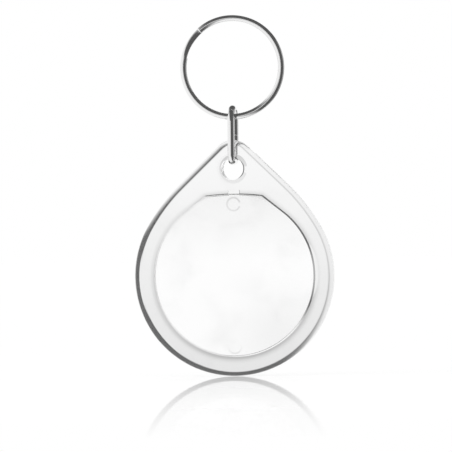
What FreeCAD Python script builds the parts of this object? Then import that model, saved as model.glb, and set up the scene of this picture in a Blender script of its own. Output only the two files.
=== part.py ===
import FreeCAD, Part
import math
import os
import re

import Sketcher

# A clear round keychain: a split ring carries a wire link, and the link carries a teardrop holder
# whose back disc snaps in over a round insert. It is modelled as it hangs, in millimetres.
# Origin: the inside of the split ring at its top, where a hook or a bag's loop carries it.
# X points right, Y points back and Z points up; the window's pane faces the front, -Y.

SIZES = (
    # Split ring: two turns of flattened wire, the ends at the upper left
    ("ring_diameter", 25.0, "outside diameter"),
    ("ring_wire_width", 1.4, "wire, across the radius"),
    ("ring_wire_thickness", 0.95, "wire, along the ring's axis"),
    ("ring_wire_flat", 0.11, "flat that its rounded corners leave, along the ring's axis"),
    ("ring_turn_gap", 0.08, "gap between the two turns"),
    ("ring_jog_angle", 36.0, "arc over which the wire steps from one turn to the other"),
    ("ring_end_angle", 41.6, "front cut end, counted leftwards from the top"),
    # Link: one oval loop of round wire, its butted ends in the back strand
    ("link_wire_diameter", 1.65, "wire"),
    ("link_inner_length", 10.95, "clear length inside the loop"),
    ("link_top_run", 0.6, "straight length between the two wide bends over the split ring"),
    ("link_bend_radius", 1.65, "centre line of the two tighter bends below"),
    ("link_cut_gap", 0.05, "gap between the butted ends"),
    # Fits along the chain
    ("link_swing_play", 0.06, "least gap between the link and the split ring over the whole swing"),
    ("hole_play", 0.1, "gap between the link and the top of the holder's hole"),
    ("link_side_play", 0.3, "gap between each strand of the link and the holder"),
    # Holder outline: a circle that runs through two flatter arcs into a rounded tip
    ("body_radius", 23.95, "lower circle"),
    ("body_thickness", 4.6, "front face to back face"),
    ("body_rounding", 1.3, "rounding of the outer edge"),
    ("shoulder_radius", 44.3, "flatter arc above the circle"),
    ("shoulder_start_angle", 60.0, "where that arc leaves the circle, from the top"),
    ("flank_angle", 44.0, "direction of the straight flank's normal, from the top"),
    ("tip_radius", 4.8, "rounded tip"),
    ("hole_diameter", 5.4, "hole for the link"),
    ("hole_bevel_width", 0.95, "shallow lead-in round the hole, across each face"),
    ("hole_bevel_depth", 0.1, "the same, into each face"),
    ("tip_wall", 4.2, "wall between the hole and the tip"),
    # Window recess, cut from the back, and the disc that closes it
    ("rim_width", 4.55, "outer edge to the round part of the window"),
    ("window_hole_wall", 3.22, "wall between the window's flattened top and the link's hole"),
    ("window_top_radius", 56.0, "flattened top's own radius"),
    ("window_shoulder_angle", 38.3, "where the circle runs out to the top corners, from the top"),
    ("window_corner_rounding", 1.0, "radius of the two top corners"),
    ("pane_thickness", 1.5, "front pane"),
    ("insert_space", 0.6, "room for a printed insert"),
    ("disc_clearance", 0.12, "gap round the disc"),
    ("draft_angle", 4.5, "draft of the recess's wall and of the disc's edge"),
    ("disc_rounding", 0.1, "rounding of the disc's edges"),
    ("mouth_bevel_width", 2.1, "lead-in round the recess, across the back face"),
    ("mouth_bevel_depth", 0.3, "the same, into the back face; the disc sits at its bottom"),
    ("notch_width", 2.7, "prying notch above the disc"),
    ("notch_height", 0.8, "the same, above the flattened top"),
    ("notch_depth", 1.2, "the same, in from the back face"),
    ("mark_diameter", 3.1, "ejector pin's mark on the disc"),
    ("mark_depth", 0.12, "the same, sunk"),
    ("upper_mark_inset", 2.55, "upper mark's centre, below the flattened top"),
    ("lower_mark_inset", 2.4, "lower mark's centre, above the window's bottom"),
    # One overrun for every cut that leaves the solid
    ("overrun", 1.0, "how far a cut runs past the surface that it opens"),
)

doc = FreeCAD.newDocument("keychain")
sheet = doc.addObject("Spreadsheet::Sheet", "sizes")
for row, (alias, value, note) in enumerate(SIZES, start=1):
    sheet.set(f"A{row}", alias.replace("_", " "))
    sheet.set(f"B{row}", str(value))
    sheet.set(f"C{row}", note)
    sheet.setAlias(f"B{row}", alias)
doc.recompute()


def size(text):
    """Return an expression with each word that is a named size pointed at the sheet."""
    names = {alias for alias, _, _ in SIZES}
    return re.sub(
        r"(?<![.\w])[a-z_]+", lambda m: f"sizes.{m[0]}" if m[0] in names else m[0], text
    )


def number(expression):
    """Return an expression's value in millimetres or degrees."""
    return float(sheet.evalExpression(expression))


# Lengths that follow from the sizes
RING_INNER = size("(ring_diameter / 2 - ring_wire_width)")
RING_OUTER = size("(ring_diameter / 2)")
RING_MIDDLE = size("(ring_diameter / 2 - ring_wire_width / 2)")
TURN_STEP = size("(ring_wire_thickness + ring_turn_gap)")
WIRE_ROUNDING = size("((ring_wire_thickness - ring_wire_flat) / 2)")
# the farthest corner of the doubled wire from its own centre, which the swinging link has to pass
RING_REACH = size(
    f"(sqrt((ring_wire_thickness + ring_turn_gap / 2 - {WIRE_ROUNDING}) ^ 2"
    f" + (ring_wire_width / 2 - {WIRE_ROUNDING}) ^ 2) + {WIRE_ROUNDING})"
)
SWING_Z = size(f"(0 - {RING_INNER} - {RING_MIDDLE})")
LINK_TOP_Z = size(f"({SWING_Z} + {RING_REACH} + link_swing_play)")
LINK_MIDDLE_Z = size(f"({LINK_TOP_Z} - link_inner_length / 2)")
SWAY_Z = size(f"({LINK_TOP_Z} - link_inner_length - link_wire_diameter / 2)")
LINK_HALF_WIDTH = size("(body_thickness / 2 + link_side_play + link_wire_diameter / 2)")
LINK_TOP_BEND = size(f"({LINK_HALF_WIDTH} - link_top_run / 2)")
LINK_HALF_LENGTH = size("(link_inner_length / 2 + link_wire_diameter / 2)")
FLANK_DISTANCE = size(
    "(shoulder_radius - (shoulder_radius - body_radius)"
    " * cos(shoulder_start_angle - flank_angle))"
)
TIP_CENTRE = size(f"(({FLANK_DISTANCE} - tip_radius) / cos(flank_angle))")
HOLE_CENTRE = size(f"({TIP_CENTRE} + tip_radius - tip_wall - hole_diameter / 2)")
HOLDER_Z = size(
    f"({SWAY_Z} + link_wire_diameter / 2 + hole_play - hole_diameter / 2 - {HOLE_CENTRE})"
)
HALF_THICKNESS = size("(body_thickness / 2)")
WINDOW_RADIUS = size("(body_radius - rim_width)")
WINDOW_TOP = size(f"({HOLE_CENTRE} - hole_diameter / 2 - window_hole_wall)")
WINDOW_TOP_CENTRE = size(f"({WINDOW_TOP} - window_top_radius)")
UPPER_MARK = size(f"({WINDOW_TOP} - upper_mark_inset)")
LOWER_MARK = size(f"(lower_mark_inset - {WINDOW_RADIUS})")
# the centres of the window's rounded corners, as far in from its tangent edge as from its top
CORNER_OFFSET = size(
    f"({WINDOW_RADIUS} - window_corner_rounding - {WINDOW_TOP_CENTRE} * cos(window_shoulder_angle))"
)
CORNER_RUN = size(
    f"({WINDOW_TOP_CENTRE} * sin(window_shoulder_angle)"
    f" + sqrt((window_top_radius - window_corner_rounding) ^ 2 - {CORNER_OFFSET} ^ 2))"
)
CORNER_SIDE = size(
    f"(({WINDOW_RADIUS} - window_corner_rounding) * sin(window_shoulder_angle)"
    f" - {CORNER_RUN} * cos(window_shoulder_angle))"
)
CORNER_LIFT = size(
    f"(({WINDOW_RADIUS} - window_corner_rounding) * cos(window_shoulder_angle)"
    f" + {CORNER_RUN} * sin(window_shoulder_angle))"
)
RECESS_DEPTH = size("(body_thickness - pane_thickness)")
DISC_THICKNESS = size(f"({RECESS_DEPTH} - insert_space - mouth_bevel_depth)")
DISC_BACK = size("(body_thickness / 2 - mouth_bevel_depth)")
RECESS_DRAFT = size(f"(({RECESS_DEPTH} - mouth_bevel_depth) * tan(draft_angle))")
DISC_DRAFT = size(f"({DISC_THICKNESS} * tan(draft_angle))")


def polar(radius, from_top):
    """Return the point at a radius and an angle in degrees, counted clockwise from the top."""
    return radius * math.sin(math.radians(from_top)), radius * math.cos(math.radians(from_top))


class Outline:
    """A sketch drawn edge by edge, anticlockwise, and then held by named constraints."""

    ORIGIN = (-1, 1)

    def __init__(self, body, name, plane, shift="vector(0;0;0)", turn="0"):
        """Place the sketch on one of the body's origin planes, shifted and turned about its x axis."""
        self.sketch = body.newObject("Sketcher::SketchObject", name)
        support = next(f for f in body.Origin.OriginFeatures if f.Role == plane)
        self.sketch.AttachmentSupport = [(support, "")]
        self.sketch.MapMode = "FlatFace"
        self.sketch.setExpression(
            "AttachmentOffset", f"placement({shift}; rotation(vector(1;0;0); {turn}))"
        )

    def line(self, start, end):
        """Draw a straight edge between two points."""
        points = [FreeCAD.Vector(*point, 0) for point in (start, end)]
        return self.sketch.addGeometry(Part.LineSegment(*points))

    def arc(self, centre, radius, start_from_top, sweep):
        """Draw an arc that turns anticlockwise through sweep degrees."""
        circle = Part.Circle(FreeCAD.Vector(*centre, 0), FreeCAD.Vector(0, 0, 1), radius)
        first = math.radians(90 - start_from_top)
        return self.sketch.addGeometry(Part.ArcOfCircle(circle, first, first + math.radians(sweep)))

    def circle(self, centre, diameter):
        """Draw a circle about a point on the sketch's upright axis, given by its height."""
        edge = self.sketch.addGeometry(
            Part.Circle(
                FreeCAD.Vector(0, number(centre), 0), FreeCAD.Vector(0, 0, 1), number(diameter) / 2
            )
        )
        self.rule("Diameter", edge, value=diameter)
        self.on_axis(edge, centre)

    def rule(self, kind, *places, value=None):
        """Add a constraint; value is the expression that drives it."""
        if value is None:
            self.sketch.addConstraint(Sketcher.Constraint(kind, *places))
            return
        index = self.sketch.addConstraint(Sketcher.Constraint(kind, *places, number(value)))
        name = f"{kind}{index}"
        self.sketch.renameConstraint(index, name)
        self.sketch.setExpression(f"Constraints.{name}", value)

    def join(self, edges, smooth=True):
        """Join each edge's end to the next one's start, tangent where smooth."""
        for edge, follower in zip(edges, edges[1:]):
            self.rule("Tangent" if smooth else "Coincident", edge, 2, follower, 1)

    def at(self, kind, place, value):
        """Hold a place at a signed distance from the sketch's origin."""
        if number(value) < 0:
            self.rule(kind, *place, *self.ORIGIN, value=f"0 - {value}")
        else:
            self.rule(kind, *self.ORIGIN, *place, value=value)

    def on_axis(self, edge, height):
        """Hold an arc's or circle's centre on the upright axis, at a height."""
        if number(height) == 0:
            self.rule("Coincident", edge, 3, *self.ORIGIN)
        else:
            self.rule("Vertical", *self.ORIGIN, edge, 3)
            self.at("DistanceY", (edge, 3), height)

    def rectangle(self, half_width, low, high):
        """Draw a rectangle about the upright axis."""
        w, bottom, top = (number(text) for text in (half_width, low, high))
        corners = [(w, bottom), (w, top), (-w, top), (-w, bottom)]
        sides = [self.line(*ends) for ends in zip(corners, [*corners[1:], corners[0]])]
        self.join([*sides, sides[0]], smooth=False)
        for side in sides[::2]:
            self.rule("Vertical", side)
        for side in sides[1::2]:
            self.rule("Horizontal", side)
        self.at("DistanceX", (sides[0], 1), half_width)
        self.at("DistanceX", (sides[2], 1), f"(0 - {half_width})")
        self.at("DistanceY", (sides[0], 1), low)
        self.at("DistanceY", (sides[0], 2), high)

    def rounded_rectangle(self, half_width, low, high, radius, gap=None, upper_radius=None):
        """Draw a rounded rectangle about the upright axis, its right side cut open by gap."""
        upper_radius = upper_radius or radius
        w, bottom, top, r, upper_r = (
            number(text) for text in (half_width, low, high, radius, upper_radius)
        )
        middle = (bottom + top) / 2
        half_gap = number(gap) / 2 if gap else 0
        upper = self.line((w, middle + half_gap), (w, top - upper_r))
        corners = [self.arc((w - upper_r, top - upper_r), upper_r, 90, 90)]
        lid = self.line((w - upper_r, top), (upper_r - w, top))
        corners.append(self.arc((upper_r - w, top - upper_r), upper_r, 0, 90))
        left = self.line((-w, top - upper_r), (-w, bottom + r))
        corners.append(self.arc((r - w, bottom + r), r, -90, 90))
        floor = self.line((r - w, bottom), (w - r, bottom))
        corners.append(self.arc((w - r, bottom + r), r, -180, 90))
        lower = self.line((w, bottom + r), (w, middle - half_gap))
        self.join([upper, corners[0], lid, corners[1], left, corners[2], floor, corners[3], lower])
        for side in (upper, left, lower):
            self.rule("Vertical", side)
        for side in (lid, floor):
            self.rule("Horizontal", side)
        for corner, corner_radius in zip(corners, (upper_radius, upper_radius, radius, radius)):
            self.rule("Radius", corner, value=corner_radius)
        self.at("DistanceX", (upper, 1), half_width)
        self.at("DistanceX", (left, 1), f"(0 - {half_width})")
        self.at("DistanceY", (lid, 1), high)
        self.at("DistanceY", (floor, 1), low)
        self.at("DistanceY", (upper, 1), f"(({low} + {high} + {gap or 0}) / 2)")
        if gap:
            self.at("DistanceX", (lower, 2), half_width)
            self.at("DistanceY", (lower, 2), f"(({low} + {high} - {gap}) / 2)")
        else:
            self.rule("Coincident", lower, 2, upper, 1)

    def teardrop(self):
        """Draw the holder's outline about the centre of its lower circle."""
        body, shoulder, tip = (
            number(size(name)) for name in ("body_radius", "shoulder_radius", "tip_radius")
        )
        start, flank = number(size("shoulder_start_angle")), number(size("flank_angle"))
        aside, below = polar(shoulder - body, start)
        tip_height = number(TIP_CENTRE)
        flank_foot = polar(shoulder, flank)
        flank_foot = flank_foot[0] - aside, flank_foot[1] - below
        flank_head = polar(tip, flank)
        flank_head = flank_head[0], flank_head[1] + tip_height
        right_shoulder = self.arc((-aside, -below), shoulder, start, start - flank)
        right_flank = self.line(flank_foot, flank_head)
        tip_arc = self.arc((0, tip_height), tip, flank, 2 * flank)
        left_flank = self.line((-flank_head[0], flank_head[1]), (-flank_foot[0], flank_foot[1]))
        left_shoulder = self.arc((aside, -below), shoulder, -flank, start - flank)
        circle = self.arc((0, 0), body, -start, 360 - 2 * start)
        edges = [right_shoulder, right_flank, tip_arc, left_flank, left_shoulder, circle]
        self.join([*edges, right_shoulder])
        self.on_axis(circle, "0")
        self.rule("Radius", circle, value=size("body_radius"))
        for edge in (right_shoulder, left_shoulder):
            self.rule("Radius", edge, value=size("shoulder_radius"))
        self.rule("Radius", tip_arc, value=size("tip_radius"))
        self.rule("Vertical", *self.ORIGIN, tip_arc, 3)
        self.rule("Horizontal", circle, 1, circle, 2)
        self.at("DistanceX", (circle, 2), size("body_radius * sin(shoulder_start_angle)"))
        self.rule("Angle", right_flank, value=size("(180 - flank_angle) * 1 deg"))

    def window(self, inset="0"):
        """Draw the window: a circle whose top runs out to two rounded corners under a flatter arc."""
        radius, top_radius, rounding = (
            size(f"({name} - {inset})")
            for name in (WINDOW_RADIUS, "window_top_radius", "window_corner_rounding")
        )
        r, top, corner_radius, top_centre, side, lift = (
            number(text)
            for text in (radius, top_radius, rounding, WINDOW_TOP_CENTRE, CORNER_SIDE, CORNER_LIFT)
        )
        angle = number(size("window_shoulder_angle"))
        lean = math.degrees(math.atan2(side, lift - top_centre))
        foot, reach = polar(r, angle), polar(corner_radius, angle)
        right = self.line(foot, (side + reach[0], lift + reach[1]))
        right_corner = self.arc((side, lift), corner_radius, angle, angle - lean)
        lid = self.arc((0, top_centre), top, lean, 2 * lean)
        left_corner = self.arc((-side, lift), corner_radius, -lean, angle - lean)
        left = self.line((-side - reach[0], lift + reach[1]), (-foot[0], foot[1]))
        circle = self.arc((0, 0), r, -angle, 360 - 2 * angle)
        self.join([right, right_corner, lid, left_corner, left, circle, right])
        for arc, arc_radius, height in ((circle, radius, "0"), (lid, top_radius, WINDOW_TOP_CENTRE)):
            self.on_axis(arc, height)
            self.rule("Radius", arc, value=arc_radius)
        for arc, centre in ((right_corner, CORNER_SIDE), (left_corner, f"(0 - {CORNER_SIDE})")):
            self.rule("Radius", arc, value=rounding)
            self.at("DistanceX", (arc, 3), centre)


def new_body(label, height, turn="0"):
    """Start a sub-part whose own origin lies on the chain's line, at a height."""
    body = doc.addObject("PartDesign::Body", label)
    body.Label = label
    body.setExpression(
        "Placement", f"placement(vector(0;0;{height}); rotation(vector(0;1;0); {turn}))"
    )
    return body


def add(body, kind, name, **values):
    """Add a feature to a body; a value that is text drives its property as an expression."""
    feature = body.newObject(f"PartDesign::{kind}", name)
    for key, value in values.items():
        if isinstance(value, str) and not key.endswith("Type"):
            feature.setExpression(key, value)
        else:
            setattr(feature, key, value)
    doc.recompute()
    return feature


def cut(body, name, outline, **values):
    """Cut a pocket, and stop if it takes nothing away."""
    before = body.Shape.Volume
    pocket = add(body, "Pocket", name, Profile=outline.sketch, **values)
    if body.Shape.Volume >= before:
        raise RuntimeError(f"{name} cuts nothing")
    return pocket


def widen(body, name, mouth, foot):
    """Cut a ruled lead-in from one outline to another, and stop if it takes nothing away."""
    before = body.Shape.Volume
    add(body, "SubtractiveLoft", name, Profile=mouth.sketch, Sections=[foot.sketch], Ruled=True)
    if body.Shape.Volume >= before:
        raise RuntimeError(f"{name} cuts nothing")


def edges_at(feature, y, slack_share=1e-4):
    """Name a feature's edges that lie in the plane at y, within a share of their own size."""
    names = []
    for index, edge in enumerate(feature.Shape.Edges, start=1):
        box = edge.BoundBox
        slack = box.DiagonalLength * slack_share
        if abs(box.YMin - y) < slack and box.YLength < slack:
            names.append(f"Edge{index}")
    return names


def make_split_ring():
    """Wind two turns of flattened wire, joined by the step that carries one behind the other."""
    body = new_body(
        "split_ring", f"(0 - {RING_INNER})", turn=size("(0 - ring_end_angle)")
    )
    turn_axis = next(f for f in body.Origin.OriginFeatures if f.Role == "Y_Axis")
    jog_steps = 6

    def section(name, share, angle):
        """Draw the wire's section, share of the way from the front turn to the back one."""
        outline = Outline(
            body,
            name,
            "YZ_Plane",
            shift=f"vector(({share} - 0.5) * {TURN_STEP};0;0)",
            turn=angle,
        )
        outline.rounded_rectangle(
            size("(ring_wire_thickness / 2)"), RING_INNER, RING_OUTER, WIRE_ROUNDING
        )
        return outline.sketch

    def wind(name, profile):
        """Turn the section from the cut end round to where the step begins."""
        return add(
            body,
            "Revolution",
            name,
            Profile=profile,
            ReferenceAxis=(turn_axis, [""]),
            Angle=size("360 - ring_jog_angle"),
        )

    wind("front_turn", section("front_section", 0, "0"))
    sections = []
    for step in range(jog_steps + 1):
        share = step / jog_steps
        eased = share * share * (3 - 2 * share)
        angle = size(f"(0 - ring_jog_angle * {1 - share})")
        sections.append(section(f"jog_section_{step}", eased, angle))
    add(body, "AdditiveLoft", "jog", Profile=sections[0], Sections=sections[1:])
    wind("back_turn", section("back_section", 1, "0"))
    return body


def make_link():
    """Bend round wire into an oval loop that hangs edge-on, its ends butted at the back."""
    body = new_body("link", LINK_MIDDLE_Z)
    path = Outline(body, "centre_line", "YZ_Plane")
    path.rounded_rectangle(
        LINK_HALF_WIDTH,
        f"(0 - {LINK_HALF_LENGTH})",
        LINK_HALF_LENGTH,
        size("link_bend_radius"),
        gap=size("link_cut_gap"),
        upper_radius=LINK_TOP_BEND,
    )
    wire = Outline(
        body, "wire", "XY_Plane", shift=size(f"vector(0;{LINK_HALF_WIDTH};link_cut_gap/2)")
    )
    wire.circle("0", size("link_wire_diameter"))
    add(body, "AdditivePipe", "loop", Profile=wire.sketch, Spine=(path.sketch, [""]))
    return body


def make_front_frame():
    """Mould the teardrop with its pane, link hole, window recess and prying notch."""
    body = new_body("front_frame", HOLDER_Z)
    half = number(HALF_THICKNESS)
    outline = Outline(body, "outline", "XZ_Plane")
    outline.teardrop()
    plate = add(
        body,
        "Pad",
        "plate",
        Profile=outline.sketch,
        Length=size("body_thickness"),
        SideType="Symmetric",
    )
    rim = edges_at(plate, half) + edges_at(plate, -half)
    add(body, "Fillet", "rim_rounding", Base=(plate, rim), Radius=size("body_rounding"))

    hole = Outline(body, "hole_circle", "XZ_Plane")
    hole.circle(HOLE_CENTRE, size("hole_diameter"))
    cut(
        body,
        "hole",
        hole,
        Length=size("(body_thickness + overrun)"),
        SideType="Symmetric",
    )
    for side, sign in (("front", ""), ("back", "0 - ")):
        bevel = []
        for part, diameter, depth in (
            ("mouth", size("(hole_diameter + 2 * hole_bevel_width)"), HALF_THICKNESS),
            ("foot", size("hole_diameter"), size("(body_thickness / 2 - hole_bevel_depth)")),
        ):
            outline = Outline(
                body, f"hole_{side}_{part}", "XZ_Plane", shift=f"vector(0;0;{sign}{depth})"
            )
            outline.circle(HOLE_CENTRE, diameter)
            bevel.append(outline)
        widen(body, f"hole_{side}_bevel", *bevel)

    floor, foot, mouth = (
        Outline(body, name, "XZ_Plane", shift=f"vector(0;0;0 - {depth})")
        for name, depth in (
            ("recess_floor", f"({HALF_THICKNESS} - {RECESS_DEPTH})"),
            ("bevel_foot", DISC_BACK),
            ("bevel_mouth", HALF_THICKNESS),
        )
    )
    floor.window(inset=RECESS_DRAFT)
    foot.window()
    mouth.window(inset="(0 - mouth_bevel_width)")
    widen(body, "recess", foot, floor)
    widen(body, "mouth_bevel", mouth, foot)

    notch = Outline(body, "notch_outline", "XZ_Plane", shift=f"vector(0;0;0 - {HALF_THICKNESS})")
    notch.rectangle(
        size("(notch_width / 2)"),
        size(f"({WINDOW_TOP} - notch_height)"),
        size(f"({WINDOW_TOP} + notch_height)"),
    )
    cut(body, "notch", notch, Length=size("notch_depth"), Reversed=True)
    return body


def make_back_disc():
    """Mould the disc that closes the recess, with its two ejector marks on the inner face."""
    body = new_body("back_disc", HOLDER_Z)
    outer, inner = (
        Outline(body, name, "XZ_Plane", shift=f"vector(0;0;0 - {depth})")
        for name, depth in (
            ("outer_outline", DISC_BACK),
            ("inner_outline", f"({DISC_BACK} - {DISC_THICKNESS})"),
        )
    )
    outer.window(inset=size("disc_clearance"))
    inner.window(inset=size(f"(disc_clearance + {DISC_DRAFT})"))
    plate = add(
        body, "AdditiveLoft", "plate", Profile=outer.sketch, Sections=[inner.sketch], Ruled=True
    )
    back = number(DISC_BACK)
    rim = edges_at(plate, back) + edges_at(plate, back - number(DISC_THICKNESS))
    add(body, "Fillet", "rim_rounding", Base=(plate, rim), Radius=size("disc_rounding"))
    for name, height in (("upper_mark", UPPER_MARK), ("lower_mark", LOWER_MARK)):
        mark = Outline(
            body, f"{name}_circle", "XZ_Plane", shift=f"vector(0;0;{DISC_THICKNESS} - {DISC_BACK})"
        )
        mark.circle(height, size("mark_diameter"))
        cut(body, name, mark, Length=size("mark_depth"))
    return body


bodies = [make_split_ring(), make_link(), make_front_frame(), make_back_disc()]
doc.recompute()

faults = [
    f"{item.Label}: {item.State}"
    for item in doc.Objects
    if {"Invalid", "Error"} & set(item.State)
]
for body in bodies:
    shape = body.Shape
    if shape.isNull() or not shape.isValid() or len(shape.Solids) != 1:
        faults.append(f"{body.Label}: not one valid solid")
if faults:
    raise RuntimeError("; ".join(faults))

os.makedirs("parts", exist_ok=True)
for body in bodies:
    body.Shape.exportStep(f"parts/{body.Label}.step")
    box = body.Shape.optimalBoundingBox()
    print(
        f"{body.Label}: {body.Shape.Volume:.1f} mm3,"
        f" x {box.XMin:.2f}..{box.XMax:.2f}, y {box.YMin:.2f}..{box.YMax:.2f},"
        f" z {box.ZMin:.2f}..{box.ZMax:.2f}"
    )
for label, height in (("link swings about z", SWING_Z), ("holder sways about z", SWAY_Z)):
    print(f"{label} {number(height):.4f}")
for label, height in (("hole centre", HOLE_CENTRE), ("tip centre", TIP_CENTRE)):
    print(f"{label} {number(height):.4f} above the holder's centre at {number(HOLDER_Z):.4f}")
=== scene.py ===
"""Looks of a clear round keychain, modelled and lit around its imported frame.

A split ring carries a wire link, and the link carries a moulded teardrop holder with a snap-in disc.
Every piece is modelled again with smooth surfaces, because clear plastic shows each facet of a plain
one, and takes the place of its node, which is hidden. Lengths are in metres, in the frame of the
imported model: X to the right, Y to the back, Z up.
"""

import logging
import math
from dataclasses import dataclass
from enum import Enum

import bpy
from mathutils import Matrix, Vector


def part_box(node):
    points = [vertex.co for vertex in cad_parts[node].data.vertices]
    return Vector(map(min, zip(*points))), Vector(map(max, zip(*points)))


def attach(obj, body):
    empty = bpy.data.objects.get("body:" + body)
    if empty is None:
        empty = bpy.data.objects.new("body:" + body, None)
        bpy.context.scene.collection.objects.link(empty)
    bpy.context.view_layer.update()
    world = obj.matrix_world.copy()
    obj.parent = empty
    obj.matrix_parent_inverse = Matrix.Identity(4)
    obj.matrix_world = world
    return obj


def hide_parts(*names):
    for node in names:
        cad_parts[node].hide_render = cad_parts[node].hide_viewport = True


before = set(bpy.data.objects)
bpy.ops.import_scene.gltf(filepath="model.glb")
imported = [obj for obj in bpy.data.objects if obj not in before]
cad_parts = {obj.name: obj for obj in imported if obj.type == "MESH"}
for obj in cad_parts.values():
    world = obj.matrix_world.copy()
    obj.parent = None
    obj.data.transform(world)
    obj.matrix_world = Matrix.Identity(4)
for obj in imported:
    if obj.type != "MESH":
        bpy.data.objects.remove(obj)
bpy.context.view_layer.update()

MM = 0.001
UP = Vector((0, 0, 1))
BACKWARD = Vector((0, 1, 0))
# edges that turn by more degrees than these stay sharp
WIRE_EDGE = 35.0
MOULDED_EDGE = 5.0
log = logging.getLogger("keychain")


class Slot(Enum):
    """The record's material slots."""

    METAL = "plated_steel"
    PLASTIC = "clear_plastic"


class Grain(Enum):
    """How the drawing marks of a wire run."""

    ROUND_THE_RING = "round the ring"
    UPRIGHT = "upright"


def linear(colour: str) -> tuple[float, float, float, float]:
    """Turn an sRGB colour into the linear values that shaders take.

    Args:
        colour: A hex colour such as "#C0C4C8".

    Returns:
        Red, green, blue and an alpha of 1.
    """
    shares = (int(colour[i : i + 2], 16) / 255 for i in (1, 3, 5))
    red, green, blue = (s / 12.92 if s <= 0.04045 else ((s + 0.055) / 1.055) ** 2.4 for s in shares)
    return red, green, blue, 1.0


def add_node(tree: bpy.types.NodeTree, kind: str, inputs: dict | None = None, **settings) -> bpy.types.Node:
    """Add a shader node with its settings and links.

    Args:
        tree: The tree that gets the node.
        kind: The node's type name.
        inputs: For each input socket's name or index, a value or the output socket to link from.
        **settings: The node's own properties.

    Returns:
        The new node.
    """
    node = tree.nodes.new(kind)
    for name, value in settings.items():
        setattr(node, name, value)
    for socket, value in (inputs or {}).items():
        if isinstance(value, bpy.types.NodeSocket):
            tree.links.new(value, node.inputs[socket])
        else:
            node.inputs[socket].default_value = value
    return node


def new_tree(owner: bpy.types.ID) -> bpy.types.NodeTree:
    """Turn nodes on, and empty their tree.

    Args:
        owner: A material or world.

    Returns:
        Its tree.
    """
    owner.use_nodes = True
    owner.node_tree.nodes.clear()
    return owner.node_tree


@dataclass(frozen=True)
class PlatedSteel:
    """Nickel-plated steel wire, drawn and barrel plated: mirror-like, with faint marks along the wire.

    Attributes:
        name: The material's name.
        grain: How the drawing marks run.
        centre: The ring's centre, round which they may run.
        colour: Bright plating, as a hex colour.
        roughness: Polish of the plating between the marks.
        marks_roughness: How much rougher the marks are.
        mark_spacing: Distance between marks across the wire; the real ones are finer.
        mark_length: Length of a mark along the wire.
        mark_depth: Depth of a mark, as the bump sees it.
    """

    name: str
    grain: Grain
    centre: tuple[float, float, float] = (0.0, 0.0, 0.0)
    colour: str = "#EEEEEE"
    roughness: float = 0.08
    marks_roughness: float = 0.1
    mark_spacing: float = 0.16 * MM
    mark_length: float = 6 * MM
    mark_depth: float = 0.0008 * MM

    def build(self) -> bpy.types.Material:
        """Make it.

        Returns:
            The material.
        """
        material = bpy.data.materials.new(self.name)
        tree = new_tree(material)
        place = add_node(tree, "ShaderNodeTexCoord").outputs["Object"]
        if self.grain is Grain.ROUND_THE_RING:
            shifted = add_node(tree, "ShaderNodeVectorMath", {0: place, 1: self.centre}, operation="SUBTRACT")
            parts = add_node(tree, "ShaderNodeSeparateXYZ", {0: shifted.outputs[0]})
            turn = add_node(
                tree, "ShaderNodeMath", {0: parts.outputs["Z"], 1: parts.outputs["X"]}, operation="ARCTAN2"
            ).outputs[0]
            reach = add_node(
                tree, "ShaderNodeVectorMath", {0: shifted.outputs[0]}, operation="LENGTH"
            ).outputs["Value"]
            arc = add_node(tree, "ShaderNodeMath", {0: turn, 1: reach}, operation="MULTIPLY").outputs[0]
            along = add_node(
                tree, "ShaderNodeCombineXYZ", {"X": reach, "Y": parts.outputs["Y"], "Z": arc}
            ).outputs[0]
        else:
            along = place
        fine, slow = 1 / self.mark_spacing, 1 / self.mark_length
        stretched = add_node(
            tree, "ShaderNodeMapping", {"Vector": along, "Scale": (fine, fine, slow)}
        ).outputs[0]
        marks = add_node(
            tree, "ShaderNodeTexNoise", {"Vector": stretched, "Scale": 1.0, "Detail": 3.0, "Roughness": 0.6}
        ).outputs["Fac"]
        polish = add_node(
            tree,
            "ShaderNodeMapRange",
            {
                "Value": marks,
                "From Min": 0.35,
                "From Max": 0.75,
                "To Min": self.roughness,
                "To Max": self.roughness + self.marks_roughness,
            },
        ).outputs[0]
        bump = add_node(
            tree, "ShaderNodeBump", {"Height": marks, "Distance": self.mark_depth, "Strength": 1.0}
        ).outputs[0]
        shader = add_node(
            tree,
            "ShaderNodeBsdfPrincipled",
            {"Base Color": linear(self.colour), "Metallic": 1.0, "Roughness": polish, "Normal": bump},
        )
        add_node(tree, "ShaderNodeOutputMaterial", {"Surface": shader.outputs[0]})
        return material


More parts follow.
